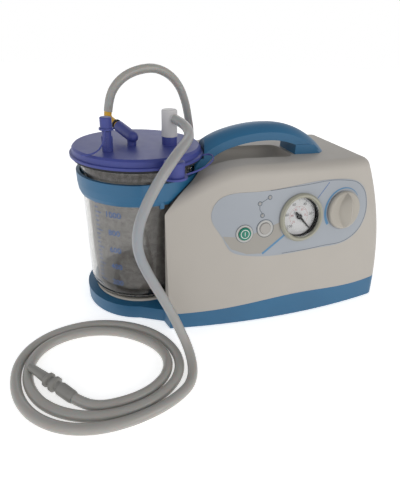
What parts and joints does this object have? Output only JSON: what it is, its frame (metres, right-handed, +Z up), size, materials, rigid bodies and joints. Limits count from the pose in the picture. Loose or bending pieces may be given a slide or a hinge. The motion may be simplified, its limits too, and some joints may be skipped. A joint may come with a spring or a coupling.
{
  "type": "portable suction pump",
  "caption": "Portable suction pump: moulded casing with gauge, knob and buttons, lift-out collection jar in a ring under an arched handle, lid with ports and two hoses.",
  "frame": {"origin": "on the table, under the middle of the pump's box without its hoses and their fitting", "axes": "+X runs along the pump from the jar to the motor end, -Y is the control panel's side, +Z up"},
  "size_m": [0.424, 0.2872, 0.2531],
  "materials": {
    "teal_abs": "moulded ABS, satin",
    "cream_abs": "moulded ABS, fine texture",
    "rubber": "matt",
    "label_film": "printed polycarbonate film",
    "bezel_abs": "moulded, satin",
    "dial_white": "white enamel",
    "clear_lens": "clear acrylic",
    "brass": "turned",
    "black_paint": "matt black paint",
    "knob_abs": "moulded, satin",
    "green_abs": "moulded, gloss",
    "grey_abs": "moulded",
    "board_green": "solder mask",
    "jar_clear": "clear polycarbonate",
    "liner_film": "thin film",
    "lid_violet": "moulded polyethylene",
    "elbow_yellow": "moulded",
    "elbow_white": "moulded",
    "silicone": "translucent silicone",
    "fitting_grey": "moulded",
    "steel": "zinc plated",
    "black_abs": "moulded",
    "aluminium": "die cast"
  },
  "bodies": {
    "pump": {"base_tray": "teal_abs", "base_feet": "rubber", "jar_seat": "cream_abs", "casing_cover": "cream_abs", "carry_handle": "teal_abs", "bay_seal": "rubber", "control_label": "label_film", "gauge_case": "bezel_abs", "gauge_dial": "dial_white", "gauge_lens": "clear_lens", "gauge_movement": "brass", "regulator_valve": "brass", "power_bezel": "bezel_abs", "grey_bezel": "bezel_abs", "status_lamps": "grey_abs", "control_board": "board_green", "vacuum_inlet": "elbow_white", "inlet_tube": "silicone", "motor_can": "steel", "motor_bearings": "brass", "motor_stator": "steel", "crankcase": "aluminium", "pump_cylinder": "aluminium", "pump_head": "aluminium", "rubber_mounts": "rubber", "mount_screws": "steel", "exhaust_silencer": "black_abs", "exhaust_grille": "black_abs", "mains_inlet": "black_abs", "cover_screws": "steel"},
    "jar": {"collection_jar": "jar_clear"},
    "lid": {"jar_lid": "lid_violet", "lid_gasket": "rubber", "liner_bag": "liner_film", "port_cap_strap": "lid_violet", "elbow_ring": "rubber", "vacuum_elbow": "elbow_yellow", "patient_elbow": "elbow_white", "hanging_cap": "lid_violet", "hanging_strap": "lid_violet", "vacuum_hose": "silicone", "patient_hose": "silicone", "patient_fitting": "fitting_grey"},
    "port_cap": {"port_cap": "lid_violet"},
    "knob": {"suction_knob": "knob_abs"},
    "pointer": {"gauge_pointer": "black_paint"},
    "power_key": {"power_button": "green_abs"},
    "grey_key": {"grey_button": "grey_abs"},
    "rotor": {"motor_rotor": "steel", "cooling_fan": "black_abs"},
    "piston": {"pump_piston": "aluminium"},
    "fuse_tray": {"fuse_drawer": "black_abs"}
  },
  "joints": [
    {"name": "jar_lift", "type": "slide", "parent": "pump", "child": "jar", "axis": [0, 0, 1], "range_m": [0, 0.145]},
    {"name": "lid_lift", "type": "slide", "parent": "jar", "child": "lid", "axis": [0, 0, 1], "range_m": [0, 0.16]},
    {"name": "cap_pull", "type": "slide", "parent": "lid", "child": "port_cap", "axis": [0, 0, 1], "range_m": [0, 0.016], "deforming": ["port_cap_strap"]},
    {"name": "knob_turn", "type": "hinge", "parent": "pump", "child": "knob", "pos_m": [0.1124, -0.06157, 0.1156], "axis": [-0.1258, 0.9721, -0.1978], "range_deg": [0, 270]},
    {"name": "pointer_swing", "type": "hinge", "parent": "pump", "child": "pointer", "pos_m": [0.0577, -0.06714, 0.1134], "axis": [0.0566, -0.9784, 0.199], "range_deg": [0, 270]},
    {"name": "power_press", "type": "slide", "parent": "pump", "child": "power_key", "axis": [0.0266, 0.9796, -0.1993], "range_m": [0, 0.002], "stiffness_N_per_m": 400, "springref_m": -0.001},
    {"name": "grey_press", "type": "slide", "parent": "pump", "child": "grey_key", "axis": [-0.0025, 0.9799, -0.1994], "range_m": [0, 0.0018], "stiffness_N_per_m": 400, "springref_m": -0.001},
    {"name": "rotor_spin", "type": "hinge", "parent": "pump", "child": "rotor", "pos_m": [0.022, 0.022, 0.066], "axis": [1, 0, 0], "continuous": true},
    {"name": "piston_stroke", "type": "slide", "parent": "pump", "child": "piston", "axis": [0, 0, 1], "range_m": [-0.005, 0.005]},
    {"name": "fuse_pull", "type": "slide", "parent": "pump", "child": "fuse_tray", "axis": [0, 0.9986, 0.0523], "range_m": [0, 0.014]}
  ]
}
